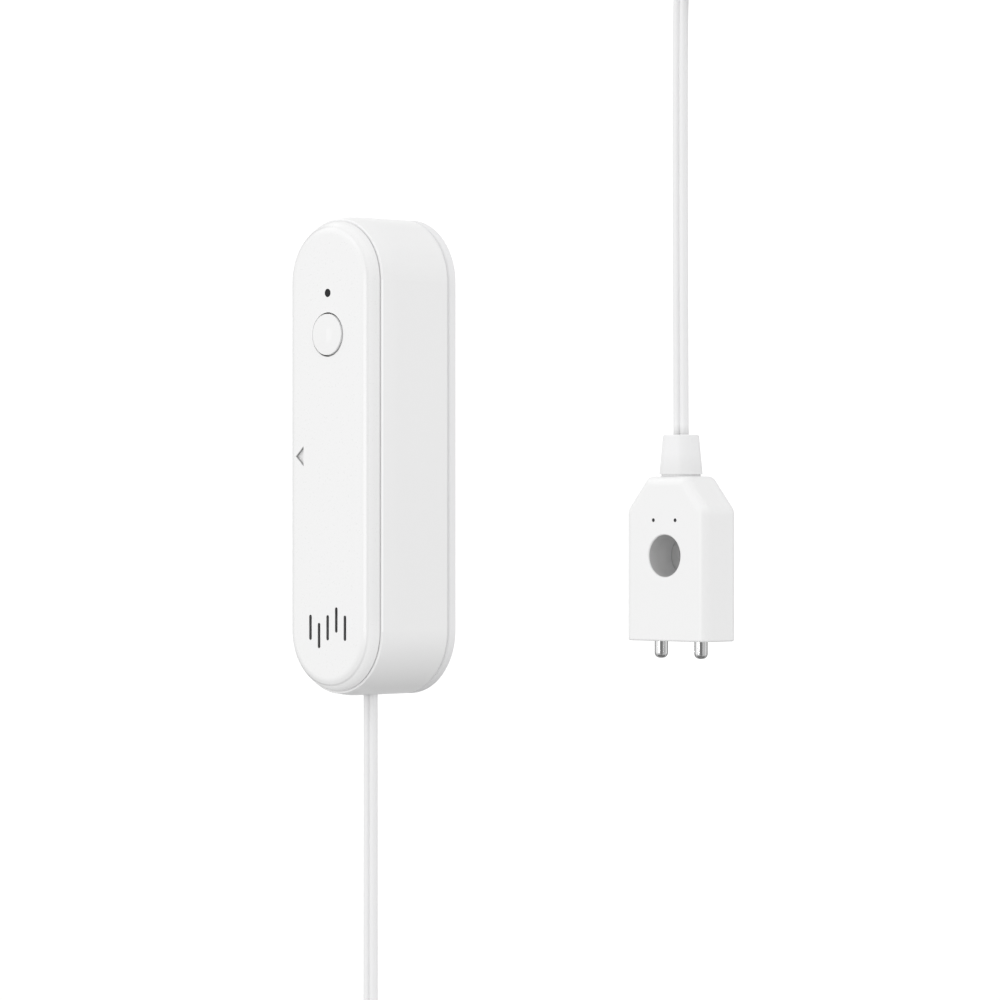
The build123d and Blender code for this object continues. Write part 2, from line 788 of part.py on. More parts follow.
os.makedirs("parts", exist_ok=True)
make_cell("cell_left", -cell_x, bay_top_z - contact_thickness - cell_length, True)
make_cell("cell_right", cell_x, bay_bottom_z + contact_thickness, False)
make_hook("cord_hook_left", hook_left_x)
make_hook("cord_hook_right", hook_right_x)
make_pin("contact_pin_left", probe_x - pin_spacing / 2)
make_pin("contact_pin_right", probe_x + pin_spacing / 2)
pieces = {
    "adhesive_pad": adhesive_pad,
    "back_plate": back_plate,
    "housing": housing,
    "cover_seal": cover_seal,
    "front_cover": front_cover,
    "dust_mesh": dust_mesh,
    "test_button": test_button,
    "light_pipe": light_pipe,
    "circuit_board": circuit_board,
    "board_screws": board_screws,
    "tact_switch": tact_switch,
    "indicator_led": indicator_led,
    "radio_module": radio_module,
    "buzzer": buzzer,
    "cord_terminal": cord_terminal,
    "battery_tray": battery_tray,
    "tip_contacts": tip_contacts,
    "flat_end_contacts": flat_end_contacts,
    "cord_grommet": cord_grommet,
    "cord_lower": cord_lower,
    "cord_coil": cord_coil,
    "coil_tie": coil_tie,
    "cord_upper": cord_upper,
    "probe_boot": probe_boot,
    "probe_body": probe_body,
    "drip_contacts": drip_contacts,
}
for name, piece in pieces.items():
    piece.part.label = name
    export_step(piece.part, f"parts/{name}.step")
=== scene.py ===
import math

import bpy
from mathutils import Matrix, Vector


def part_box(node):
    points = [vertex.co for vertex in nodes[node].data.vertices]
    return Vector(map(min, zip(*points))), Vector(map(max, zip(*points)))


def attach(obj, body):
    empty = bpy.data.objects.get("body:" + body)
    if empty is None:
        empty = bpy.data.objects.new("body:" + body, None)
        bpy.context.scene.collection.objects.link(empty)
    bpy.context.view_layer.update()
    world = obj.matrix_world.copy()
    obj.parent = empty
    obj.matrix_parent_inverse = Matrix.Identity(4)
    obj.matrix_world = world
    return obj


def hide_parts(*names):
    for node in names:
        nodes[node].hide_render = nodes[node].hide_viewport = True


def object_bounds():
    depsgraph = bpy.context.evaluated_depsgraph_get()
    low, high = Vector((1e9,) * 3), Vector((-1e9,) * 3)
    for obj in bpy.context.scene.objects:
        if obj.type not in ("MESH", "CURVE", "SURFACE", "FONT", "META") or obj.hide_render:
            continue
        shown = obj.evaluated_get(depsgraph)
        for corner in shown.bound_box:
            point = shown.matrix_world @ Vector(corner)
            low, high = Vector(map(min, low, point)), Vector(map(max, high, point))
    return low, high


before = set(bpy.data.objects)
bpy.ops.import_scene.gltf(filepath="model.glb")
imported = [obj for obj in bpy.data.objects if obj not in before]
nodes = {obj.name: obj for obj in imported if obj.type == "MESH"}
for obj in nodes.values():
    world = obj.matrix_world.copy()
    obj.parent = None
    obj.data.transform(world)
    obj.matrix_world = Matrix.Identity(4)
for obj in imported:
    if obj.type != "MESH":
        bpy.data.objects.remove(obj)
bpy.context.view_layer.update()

MM = 0.001

# The camera: level, to the right of the front, with a long lens
VIEW_AZIMUTH = 44.3
CAMERA_PLACE = (630.6 * MM, -622.7 * MM, -8.14 * MM)
LENS = 169.2
SENSOR = 36.0
CLIP_START = 0.01

# Lights, all aimed at one place: name, place and size in metres, power in watts
LIGHT_AIM = (0.03, -0.01, 0.0)
LIGHTS = [
    ("key_light", (-0.73, -0.3, 0.7), (0.6, 0.5), 0.75),
    ("corner_light", (-0.29, -0.88, 0.6), (0.35, 0.05), 0.3),
    ("strip_light", (0.08, -1.0, 0.0), (0.08, 0.26), 0.87),
    ("fill_light", (0.95, 0.4, 0.1), (0.25, 0.25), 0.25),
]

# The world's glow from straight down, at -1, to straight up, at 1
WORLD_STOPS = [(-1.0, 0.38), (-0.6, 0.45), (-0.02, 1.0), (0.2, 1.0), (0.6, 0.8), (1.0, 0.74)]
WORLD_STRENGTH = 1.14

# Cards for reflections: name, degrees round from the camera, half width in metres, grey
CARDS = [
    ("front_card", 0.0, 0.5, 0.23),
    ("right_card", 53.0, 0.6, 0.66),
    ("left_flag", -137.0, 0.72, 0.35),
    ("right_flag", 139.0, 0.72, 0.35),
]
CARD_DISTANCE = 1.15
CARD_HALF_HEIGHT = 0.9
CARD_ROUGHNESS = 0.9
LOW_CARD_Z = -0.6
LOW_CARD_HALF = 0.5
LOW_CARD_GREY = 0.2

# The floor's middle, and how far it lies below the part
FLOOR_X = 0.07
FLOOR_Y = -0.01
FLOOR_DROP = 0.08
# The floor is whole up to the first distance and has thinned out at the second
FLOOR_FULL = 0.45
FLOOR_HALF = 1.05

# The corners of a square round its middle
SQUARE = ((-1, -1), (1, -1), (1, 1), (-1, 1))

# The white plastic, painted shade for the walls of narrow slots and holes in it, and small black parts
WHITE = (0.895, 0.895, 0.895)
PAINTED_RECESS_SHADE = (0.16, 0.16, 0.16)
BLACK = (0.02, 0.02, 0.022)

# Every moulded surface: the scale of its drift in tone, how far its gloss goes up and down,
# and the strength of its grain
TONE_SCALE = 55.0
GLOSS_DRIFT = 0.02
GRAIN_STRENGTH = 0.35

# Relief on the cover's rounded edge: depth behind the face and height, in millimetres
CREASE_RELIEF = [
    (0.0, 0.0),
    (0.1, 0.0097),
    (0.2, 0.0275),
    (0.3, 0.0506),
    (0.42, 0.084),
    (0.7, -0.014),
    (1.0, 0.042),
    (1.4, 0.13),
    (1.9, 0.25),
    (2.6, 0.42),
]
CREASE_DEPTH = CREASE_RELIEF[-1][0]
# The relief's curve goes from 0 to 1: 0 lies this far below the surface, and 1 this range above
# that, both in millimetres
CREASE_LOW = 0.1
CREASE_RANGE = 0.6

# Places that the frame gives
face_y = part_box("front_cover")[0].y
probe_low, probe_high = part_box("probe_body")
probe_x = (probe_low.x + probe_high.x) / 2
cord_y = (probe_low.y + probe_high.y) / 2
boot_top_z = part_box("probe_boot")[1].z
terminal_foot_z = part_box("cord_terminal")[0].z
cell_top_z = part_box("cell_left")[1].z

# The cord: a flat twin, two round cores side by side joined by a thin web
CORD_WIDTH = 3.1 * MM
CORE_RADIUS = CORD_WIDTH / 4
WEB_HALF = 0.18 * MM
CORE_STEPS = 14
CORD_INTO_BOOT = 0.2 * MM
# The route is in millimetres. The coil's middle, in X and Z, and its turns:
COIL_X = 16.5
COIL_Z = -127.0
COIL_TURNS = 3.25
COIL_POINTS_PER_TURN = 16
# How the turns lie: at this many turns, this radius and this far along Y
COIL_LAY = [
    (0.0, 16.5, 0.0),
    (0.3, 15.8, 1.6),
    (0.95, 15.6, 1.6),
    (1.3, 15.7, -1.6),
    (1.95, 15.9, -1.6),
    (2.25, 17.3, -1.6),
    (2.9, 17.4, -1.5),
    (3.25, 17.3, 0.9),
]
# The points before the coil and after it, in X and Z
LEAD_POINTS = [(0.0, -75.0), (0.0, -108.0)]
RISE_POINTS = [
    (22.0, -144.6),
    (40.0, -146.0),
    (66.0, -153.0),
    (96.0, -154.0),
    (124.0, -141.0),
    (145.0, -115.0),
    (154.0, -77.0),
    (157.6, -29.0),
    (158.2, 19.0),
    (156.8, 63.0),
    (153.2, 84.0),
    (153.05, 96.2),
    (147.2, 102.0),
    (138.8, 102.1),
    (116.0, 101.3),
    (93.2, 102.1),
    (84.8, 102.0),
    (79.0, 96.2),
    (78.6, 87.0),
    (78.1, 81.0),
    (77.9, 72.0),
    (77.9, 40.0),
]
# The cord lies flat round the coil and the hooks, and turns its width to X where it is seen.
# The first pair is measured from the cord's start, the second from its end.
TWIST_IN = (62.0 * MM, 78.0 * MM)
TWIST_OUT = (95.0 * MM, 79.0 * MM)


def shader(name):
    """A new material, with its nodes and its links."""
    material = bpy.data.materials.new(name)
    material.use_nodes = True
    return material, material.node_tree.nodes, material.node_tree.links


def place(tree_nodes, links, scale=(1, 1, 1)):
    """Object coordinates, scaled: the pattern stays on the piece."""
    coordinates = tree_nodes.new("ShaderNodeTexCoord")
    mapping = tree_nodes.new("ShaderNodeMapping")
    mapping.inputs["Scale"].default_value = scale
    links.new(coordinates.outputs["Object"], mapping.inputs["Vector"])
    return mapping.outputs["Vector"]


def split_place(material):
    """The X, Y and Z of each place on the piece, for a material that has object coordinates."""
    tree_nodes, links = material.node_tree.nodes, material.node_tree.links
    split = tree_nodes.new("ShaderNodeSeparateXYZ")
    links.new(tree_nodes["Texture Coordinate"].outputs["Object"], split.inputs["Vector"])
    return split.outputs


def noise(tree_nodes, links, vector, scale, detail=2.0):
    """A noise value from 0 to 1."""
    texture = tree_nodes.new("ShaderNodeTexNoise")
    texture.inputs["Scale"].default_value = scale
    texture.inputs["Detail"].default_value = detail
    links.new(vector, texture.inputs["Vector"])
    return texture.outputs["Fac"]


def spread(tree_nodes, links, value, low, high):
    """Maps a 0 to 1 value to low to high."""
    span = tree_nodes.new("ShaderNodeMapRange")
    span.inputs["To Min"].default_value = low
    span.inputs["To Max"].default_value = high
    links.new(value, span.inputs["Value"])
    return span.outputs["Result"]


def share_between(tree_nodes, links, value, start, end, kind="LINEAR"):
    """Maps start to end to 0 to 1, and stays there outside them."""
    span = tree_nodes.new("ShaderNodeMapRange")
    span.interpolation_type = kind
    span.inputs["From Min"].default_value = start
    span.inputs["From Max"].default_value = end
    links.new(value, span.inputs["Value"])
    return span.outputs["Result"]


def scaled(colour, share):
    """The colour times a number, and nowhere over 1."""
    return tuple(min(1.0, c * share) for c in colour)


def mixed(tree_nodes, links, factor, first, second):
    """A colour between first and second, each a colour or a socket."""
    mix = tree_nodes.new("ShaderNodeMix")
    mix.data_type = "RGBA"
    links.new(factor, mix.inputs["Factor"])
    for socket, colour in ((mix.inputs["A"], first), (mix.inputs["B"], second)):
        if isinstance(colour, bpy.types.NodeSocket):
            links.new(colour, socket)
        else:
            socket.default_value = (*colour, 1.0)
    return mix.outputs["Result"]


def calculated(tree_nodes, links, operation, first, second):
    """One operation on a socket and a second value, which is a socket or a number."""
    step = tree_nodes.new("ShaderNodeMath")
    step.operation = operation
    links.new(first, step.inputs[0])
    if isinstance(second, bpy.types.NodeSocket):
        links.new(second, step.inputs[1])
    else:
        step.inputs[1].default_value = second
    return step.outputs[0]


def inside(tree_nodes, links, value, low, high):
    """1 where the value lies between low and high, and 0 elsewhere."""
    above = calculated(tree_nodes, links, "GREATER_THAN", value, low)
    below = calculated(tree_nodes, links, "LESS_THAN", value, high)
    return calculated(tree_nodes, links, "MULTIPLY", above, below)


def product(tree_nodes, links, *values):
    """All the values multiplied together."""
    result = values[0]
    for value in values[1:]:
        result = calculated(tree_nodes, links, "MULTIPLY", result, value)
    return result


def moulded(name, colour, roughness, grain=2600.0, relief=0.012, shift=0.012, shine=0.5):
    """Moulded plastic or rubber: a fine spark texture, and a slight drift in tone and gloss."""
    material, tree_nodes, links = shader(name)
    surface = tree_nodes["Principled BSDF"]
    vector = place(tree_nodes, links)
    tone = noise(tree_nodes, links, vector, TONE_SCALE, detail=3.0)
    shades = mixed(tree_nodes, links, tone, scaled(colour, 1 - shift), scaled(colour, 1 + shift))
    links.new(shades, surface.inputs["Base Color"])
    fine = noise(tree_nodes, links, vector, grain)
    gloss = spread(tree_nodes, links, fine, roughness - GLOSS_DRIFT, roughness + GLOSS_DRIFT)
    links.new(gloss, surface.inputs["Roughness"])
    bump = tree_nodes.new("ShaderNodeBump")
    bump.inputs["Strength"].default_value = GRAIN_STRENGTH
    bump.inputs["Distance"].default_value = relief * MM
    links.new(fine, bump.inputs["Height"])
    links.new(bump.outputs["Normal"], surface.inputs["Normal"])
    surface.inputs["Specular IOR Level"].default_value = shine
    return material


def metal(name, colour, roughness, along, streak=0.05):
    """Polished or plated metal with fine turning or rolling marks across one direction."""
    material, tree_nodes, links = shader(name)
    surface = tree_nodes["Principled BSDF"]
    surface.inputs["Metallic"].default_value = 1.0
    vector = place(tree_nodes, links, along)
    marks = noise(tree_nodes, links, vector, scale=900.0, detail=3.0)
    links.new(mixed(tree_nodes, links, marks, scaled(colour, 0.94), colour), surface.inputs["Base Color"])
    gloss = spread(tree_nodes, links, marks, roughness, roughness + streak)
    links.new(gloss, surface.inputs["Roughness"])
    return material


def own_colour(material):
    """The socket that gives the material its colour so far."""
    return material.node_tree.nodes["Principled BSDF"].inputs["Base Color"].links[0].from_socket


def paint_light_in_zones(material, zones, shade):
    """Paints light or shade into a moulded piece's colour inside each zone, a box in the part's frame:
    painted shade on the walls of its narrow slots and holes, where the light doesn't reach, or a
    painted highlight on an edge that catches it."""
    tree_nodes, links = material.node_tree.nodes, material.node_tree.links
    places = split_place(material)
    colour = own_colour(material)
    for low, high in zones:
        spans = [inside(tree_nodes, links, places[i], low[i], high[i]) for i in range(3)]
        colour = mixed(tree_nodes, links, product(tree_nodes, links, *spans), colour, shade)
    links.new(colour, tree_nodes["Principled BSDF"].inputs["Base Color"])
    return material


def blend_along(material, axis, start, end, first, second):
    """A colour that goes from first to second between two places along an axis."""
    tree_nodes, links = material.node_tree.nodes, material.node_tree.links
    share = share_between(tree_nodes, links, split_place(material)[axis], start, end)
    return mixed(tree_nodes, links, share, first, second)


def paint_shade_to_foot(material, foot_z, reach, shade):
    """Paints shade into a moulded piece's colour, a little darker towards its foot, where it stands on its
    neighbour.
    """
    surface = material.node_tree.nodes["Principled BSDF"]
    colour = blend_along(material, "Z", foot_z, foot_z + reach, shade, own_colour(material))
    material.node_tree.links.new(colour, surface.inputs["Base Color"])
    return material


def creased(material, front):
    """Relief on the cover's rounded edge, by depth behind the face: a step at its crease and a
    flatter run behind it."""
    tree_nodes, links = material.node_tree.nodes, material.node_tree.links
    places = split_place(material)
    share = share_between(tree_nodes, links, places["Y"], front, front + CREASE_DEPTH * MM)
    profile = tree_nodes.new("ShaderNodeFloatCurve")
    line = profile.mapping.curves[0]
    knots = [(depth / CREASE_DEPTH, (rise + CREASE_LOW) / CREASE_RANGE) for depth, rise in CREASE_RELIEF]
    for across, up in knots[1:-1]:
        line.points.new(across, up)
    line.points[0].location = knots[0]
    line.points[-1].location = knots[-1]
    for point in line.points:
        point.handle_type = "VECTOR"
    profile.mapping.update()
    links.new(share, profile.inputs["Value"])
    step = tree_nodes.new("ShaderNodeBump")
    step.inputs["Strength"].default_value = 1.0
    step.inputs["Distance"].default_value = CREASE_RANGE * MM
    links.new(profile.outputs["Value"], step.inputs["Height"])
    links.new(step.outputs["Normal"], tree_nodes["Bump"].inputs["Normal"])
    return material


def zone(centre, size, front, depth):
    """A box behind a front face: its centre and size in X and Z, and where it starts along Y."""
    half_x, half_z = size[0] / 2, size[1] / 2
    low = (centre[0] - half_x, front, centre[1] - half_z)
    high = (centre[0] + half_x, front + depth, centre[1] + half_z)
    return low, high


def middle(name):
    """The middle of a piece's box, in X and Z."""
    low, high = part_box(name)
    return (low.x + high.x) / 2, (low.z + high.z) / 2


def finish_node(material, *names):
    """Gives CAD nodes their material."""
    for name in names:
        piece = nodes[name]
        if not piece.material_slots:
            piece.data.materials.append(material)
        for holder in piece.material_slots:
            holder.material = material


def cover_finish():
    """Painted shade in its slots, round the button, in the window hole and on the wall of the pointer
    mark, relief on its rounded edge, and a painted highlight low down on that edge."""
    skin = 0.03 * MM
    deep = 1.6 * MM
    ring_skin = 0.3 * MM
    ring_size = 9.0 * MM
    window_size = 2.4 * MM
    mark_x = -7.5 * MM
    mark_size = (2.3 * MM, 4.4 * MM)
    mark_skin = 0.05 * MM
    mark_wall = 0.5 * MM
    mark_shade = (0.42, 0.42, 0.42)
    edge_skin = 0.6 * MM
    edge_height = 14.0 * MM
    edge_painted_light = (1.0, 1.0, 1.0)
    material = moulded("cover_finish", WHITE, 0.28, relief=0.003, shift=0.004)
    low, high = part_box("dust_mesh")
    slots = zone(middle("dust_mesh"), (high.x - low.x, high.z - low.z), face_y + skin, deep)
    ring = zone(middle("test_button"), (ring_size, ring_size), face_y + ring_skin, deep)
    window = zone(middle("light_pipe"), (window_size, window_size), face_y + skin, deep)
    mark = zone((mark_x, 0), mark_size, face_y + mark_skin, mark_wall)
    # Painted shade in the slots, the ring round the button and the window hole, and on the mark's wall
    material = paint_light_in_zones(material, [slots, ring, window], PAINTED_RECESS_SHADE)
    material = paint_light_in_zones(material, [mark], mark_shade)
    low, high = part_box("front_cover")
    # A painted highlight on the lower part of the rounded edge, lightest at the bottom
    edge_top = low.z + edge_height
    edge = ((low.x, face_y + edge_skin, low.z), (high.x, face_y + CREASE_DEPTH * MM, edge_top))
    lower_edge_painted_light = blend_along(material, "Z", low.z, edge_top, edge_painted_light, WHITE)
    return creased(paint_light_in_zones(material, [edge], lower_edge_painted_light), face_y)


def housing_finish():
    """A painted highlight on the edge of the mouth, against the seam, where it catches the light, most of
    all on the straight sides.
    """
    edge_depth = 0.27 * MM
    edge_painted_light = (0.92, 0.92, 0.92)
    side_painted_light = (0.99, 0.99, 0.99)
    material = moulded("housing_finish", WHITE, 0.32, relief=0.004, shift=0.004)
    low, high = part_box("housing")
    edge_y = low.y + edge_depth
    straight = high.z - high.x
    edge = (tuple(low), (high.x, edge_y, high.z))
    side = ((low.x, low.y, -straight), (high.x, edge_y, straight))
    # Painted highlights, lighter than the white plastic, on the mouth's edge and more on its straight
    # sides
    material = paint_light_in_zones(material, [edge], edge_painted_light)
    return paint_light_in_zones(material, [side], side_painted_light)


def probe_finish():
    """Painted shade down the wall of the round recess and at its foot, and in the wells round the dots."""
    hole_z = probe_high.z - 13.9 * MM
    hole_size = (7.6 * MM, 7.6 * MM)
    hole_skin = 0.25 * MM
    hole_depth = 8.0 * MM
    shade_start = 2.5 * MM
    near_shade = (0.6, 0.6, 0.6)
    far_shade = (0.77, 0.77, 0.77)
    foot_start = 5.9 * MM
    foot_depth = 2.0 * MM
    foot_shade = (0.44, 0.44, 0.44)
    dots_z = probe_high.z - 7.67 * MM
    dots_size = (6.6 * MM, 1.0 * MM)
    dots_skin = 0.05 * MM
    dots_depth = 2.0 * MM
    front = probe_low.y
    material = moulded("probe_finish", WHITE, 0.36, relief=0.006, shift=0.004)
    wall = zone((probe_x, hole_z), hole_size, front + hole_skin, hole_depth)
    foot = zone((probe_x, hole_z), hole_size, front + foot_start, foot_depth)
    dots = zone((probe_x, dots_z), dots_size, front + dots_skin, dots_depth)
    # Painted shade on the recess's wall, at its foot and round the dots
    recess_wall_painted_shade = blend_along(material, "Y", front + shade_start, front + foot_start, near_shade, far_shade)
    material = paint_light_in_zones(material, [wall], recess_wall_painted_shade)
    material = paint_light_in_zones(material, [foot], foot_shade)
    return paint_light_in_zones(material, [dots], PAINTED_RECESS_SHADE)


def cord_finish():
    """Painted shade where the cord goes into the boot."""
    reach = 1.8 * MM
    room = 6.0 * MM
    boot_shade = (0.66, 0.66, 0.66)
    material = moulded("cord_finish", (0.87, 0.87, 0.875), 0.42, grain=1800.0, relief=0.008)
    end = zone((probe_x, boot_top_z + reach / 2), (room, reach), cord_y - room / 2, room)
    # Painted shade on the cord, darkest at the boot's top and fading upwards
    shade = blend_along(material, "Z", boot_top_z, boot_top_z + reach, boot_shade, own_colour(material))
    return paint_light_in_zones(material, [end], shade)


def boot_finish():
    """Like the probe, with painted shade towards its foot and in the narrow groove there."""
    foot_z = probe_high.z
    foot_reach = 4.0 * MM
    foot_shade = (0.79, 0.79, 0.79)
    groove_low_z = foot_z - 1.0 * MM
    groove_high_z = foot_z + 0.36 * MM
    groove_shade = (0.78, 0.78, 0.78)
    material = moulded("boot_finish", (0.875, 0.875, 0.88), 0.45)
    # Painted shade towards the boot's foot and in its groove
    material = paint_shade_to_foot(material, foot_z, foot_reach, foot_shade)
    groove = (
        (probe_low.x, probe_low.y, groove_low_z),
        (probe_high.x, probe_high.y, groove_high_z),
    )
    return paint_light_in_zones(material, [groove], groove_shade)


def board_finish():
    """Green solder mask with copper runs under it."""
    material, tree_nodes, links = shader("board_finish")
    surface = tree_nodes["Principled BSDF"]
    brick = tree_nodes.new("ShaderNodeTexBrick")
    brick.inputs["Scale"].default_value = 260.0
    brick.inputs["Mortar Size"].default_value = 0.09
    brick.inputs["Color1"].default_value = (0.015, 0.12, 0.05, 1)
    brick.inputs["Color2"].default_value = (0.018, 0.14, 0.06, 1)
    brick.inputs["Mortar"].default_value = (0.04, 0.24, 0.1, 1)
    links.new(place(tree_nodes, links), brick.inputs["Vector"])
    links.new(brick.outputs["Color"], surface.inputs["Base Color"])
    surface.inputs["Roughness"].default_value = 0.35
    return material


def cell_finish():
    """A cell's plain wrap: a dark body with a copper band at the top."""
    band_low = 12 * MM
    band_high = 2 * MM
    material, tree_nodes, links = shader("cell_finish")
    surface = tree_nodes["Principled BSDF"]
    tone = noise(tree_nodes, links, place(tree_nodes, links), scale=300.0)
    body = mixed(tree_nodes, links, tone, (0.03, 0.05, 0.075), (0.04, 0.06, 0.085))
    height = split_place(material)["Z"]
    band = inside(tree_nodes, links, height, cell_top_z - band_low, cell_top_z + band_high)
    links.new(mixed(tree_nodes, links, band, body, (0.45, 0.25, 0.12)), surface.inputs["Base Color"])
    surface.inputs["Roughness"].default_value = 0.25
    surface.inputs["Metallic"].default_value = 0.6
    return material


def woven(name, colour):
    """Fine mesh: threads both ways."""
    material, tree_nodes, links = shader(name)
    surface = tree_nodes["Principled BSDF"]
    vector = place(tree_nodes, links)
    waves = []
    for direction in ("X", "Z"):
        wave = tree_nodes.new("ShaderNodeTexWave")
        wave.bands_direction = direction
        wave.inputs["Scale"].default_value = 1600.0
        links.new(vector, wave.inputs["Vector"])
        waves.append(wave.outputs["Fac"])
    threads = product(tree_nodes, links, *waves)
    links.new(mixed(tree_nodes, links, threads, scaled(colour, 0.4), colour), surface.inputs["Base Color"])
    surface.inputs["Roughness"].default_value = 0.8
    return material


def dress_outside():
    """The detector's case, what shows on its face, and its seal and adhesive pad."""
    button = moulded("button_finish", WHITE, 0.5, relief=0.004, shift=0.004, shine=0.3)
    window = moulded("window_finish", (0.012, 0.012, 0.014), 0.08, relief=0.002, shine=0.2)
    foam = moulded("foam_finish", (0.5, 0.5, 0.52), 0.85, grain=900.0, relief=0.08, shift=0.06)
    finish_node(cover_finish(), "front_cover")
    finish_node(housing_finish(), "housing")
    finish_node(moulded("plate_finish", (0.86, 0.86, 0.865), 0.45), "back_plate")
    finish_node(button, "test_button")
    finish_node(window, "light_pipe")
    finish_node(woven("mesh_finish", (0.05, 0.05, 0.055)), "dust_mesh")
    finish_node(foam, "adhesive_pad")
    finish_node(moulded("seal_finish", (0.1, 0.1, 0.11), 0.6), "cover_seal")


def dress_inside():
    """The board, the cells and what holds them."""
    contacts = metal("contact_finish", (0.78, 0.76, 0.72), 0.2, (1, 8, 1))
    finish_node(board_finish(), "circuit_board")
    finish_node(metal("screw_finish", (0.62, 0.62, 0.63), 0.25, (1, 1, 6)), "board_screws")
    finish_node(moulded("black_finish", BLACK, 0.4), "tact_switch", "buzzer")
    finish_node(moulded("led_finish", (0.8, 0.75, 0.45), 0.15), "indicator_led")
    finish_node(metal("shield_finish", (0.7, 0.7, 0.7), 0.32, (8, 1, 1)), "radio_module")
    finish_node(moulded("terminal_finish", (0.75, 0.74, 0.7), 0.5), "cord_terminal")
    finish_node(moulded("tray_finish", (0.8, 0.8, 0.81), 0.5), "battery_tray")
    finish_node(cell_finish(), "cell_left", "cell_right")
    finish_node(contacts, "tip_contacts", "flat_end_contacts")


def dress_cord_and_probe():
    """The pieces along the cord, and the probe."""
    pins = metal("pin_finish", (0.8, 0.8, 0.8), 0.06, (1, 1, 14), streak=0.03)
    finish_node(moulded("grommet_finish", (0.8, 0.8, 0.805), 0.55), "cord_grommet")
    finish_node(moulded("tie_finish", (0.78, 0.78, 0.79), 0.5), "coil_tie")
    finish_node(moulded("hook_finish", WHITE, 0.42), "cord_hook_left", "cord_hook_right")
    finish_node(boot_finish(), "probe_boot")
    finish_node(probe_finish(), "probe_body")
    finish_node(pins, "contact_pin_left", "contact_pin_right")
    finish_node(moulded("dot_finish", BLACK, 0.3), "drip_contacts")


def eased(value, start, end):
    """0 before start, 1 after end, and a smooth rise between them."""
    share = min(1.0, max(0.0, (value - start) / (end - start)))
    return share * share * (3 - 2 * share)


def lay_at(turns):
    """Radius and place along Y of the coil at so many turns, from COIL_LAY, eased between them."""
    for before, after in zip(COIL_LAY, COIL_LAY[1:]):
        if turns <= after[0]:
            share = eased(turns, before[0], after[0])
            return [b + (a - b) * share for b, a in zip(before[1:], after[1:])]
    return list(COIL_LAY[-1][1:])


def cord_controls():
    """The route's points, in metres: down from the terminal, the coil, and up to the probe."""
    points = [Vector((0, cord_y, terminal_foot_z))]
    points += [Vector((x * MM, cord_y, z * MM)) for x, z in LEAD_POINTS]
    count = round(COIL_TURNS * COIL_POINTS_PER_TURN)
    for i in range(count + 1):
        turns = i / COIL_POINTS_PER_TURN
        radius, aside = lay_at(turns)
        angle = math.pi + turns * 2 * math.pi
        x = COIL_X + radius * math.cos(angle)
        z = COIL_Z + radius * math.sin(angle)
        points.append(Vector((x * MM, cord_y + aside * MM, z * MM)))
    points += [Vector((x * MM, cord_y, z * MM)) for x, z in RISE_POINTS]
    points.append(Vector((probe_x, cord_y, boot_top_z - CORD_INTO_BOOT)))
    return points


def spline_points(controls):
    """Points along the NURBS spline of the control points."""
    curve = bpy.data.curves.new("route", "CURVE")
    curve.dimensions = "3D"
    curve.resolution_u = 10
    spline = curve.splines.new("NURBS")
    spline.points.add(len(controls) - 1)
    for point, control in zip(spline.points, controls):
        point.co = (*control, 1.0)
    spline.order_u = 3
    spline.use_endpoint_u = True
    holder = bpy.data.objects.new("route", curve)
    bpy.context.scene.collection.objects.link(holder)
    bpy.context.view_layer.update()
    mesh = bpy.data.meshes.new_from_object(holder)
    line = [v.co.copy() for v in mesh.vertices]
    bpy.data.objects.remove(holder)
    return line


def run_lengths(line):
    """How far along the line each of its points lies."""
    runs = [0.0]
    for before, after in zip(line, line[1:]):
        runs.append(runs[-1] + (after - before).length)
    return runs


def twin_section():
    """The section of the flat twin, as (across, through) pairs round its edge."""
    start = math.asin(WEB_HALF / CORE_RADIUS)
    side = []
    for i in range(CORE_STEPS + 1):
        angle = math.pi - start - i * (2 * math.pi - 2 * start) / CORE_STEPS
        side.append((CORE_RADIUS + CORE_RADIUS * math.cos(angle), CORE_RADIUS * math.sin(angle)))
    return side + [(-across, -through) for across, through in side]


def cord_axes(line, i, turn):
    """The directions of the cord's width and thickness at a point of its line, turned about it."""
    ahead = line[min(i + 1, len(line) - 1)]
    behind = line[max(i - 1, 0)]
    tangent = (ahead - behind).normalized()
    in_plane = tangent.cross(Vector((0, 1, 0))).normalized()
    through = in_plane.cross(tangent).normalized()
    wide_axis = in_plane * math.cos(turn) + through * math.sin(turn)
    thin_axis = through * math.cos(turn) - in_plane * math.sin(turn)
    return wide_axis, thin_axis


def cord_mesh(line):
    """The twin section swept along the line, smooth but for the edges of its grooves."""
    runs = run_lengths(line)
    total = runs[-1]
    section = twin_section()
    size = len(section)
    vertices, faces = [], []
    for i, centre in enumerate(line):
        flat = eased(runs[i], *TWIST_IN) - eased(runs[i], total - TWIST_OUT[0], total - TWIST_OUT[1])
        wide_axis, thin_axis = cord_axes(line, i, flat * math.pi / 2)
        vertices += [centre + wide_axis * a + thin_axis * b for a, b in section]
    for i in range(len(line) - 1):
        for j in range(size):
            k = (j + 1) % size
            faces.append((i * size + j, i * size + k, (i + 1) * size + k, (i + 1) * size + j))
    faces.append(tuple(reversed(range(size))))
    faces.append(tuple(range((len(line) - 1) * size, len(line) * size)))
    mesh = bpy.data.meshes.new("flat_twin_cord")
    mesh.from_pydata(vertices, [], faces)
    mesh.validate()
    for polygon in mesh.polygons:
        polygon.use_smooth = len(polygon.vertices) == 4
    grooves = (0, CORE_STEPS, CORE_STEPS + 1, 2 * CORE_STEPS + 1)
    for side in mesh.edges:
        first, second = side.vertices
        side.use_edge_sharp = first % size == second % size and first % size in grooves
    return mesh


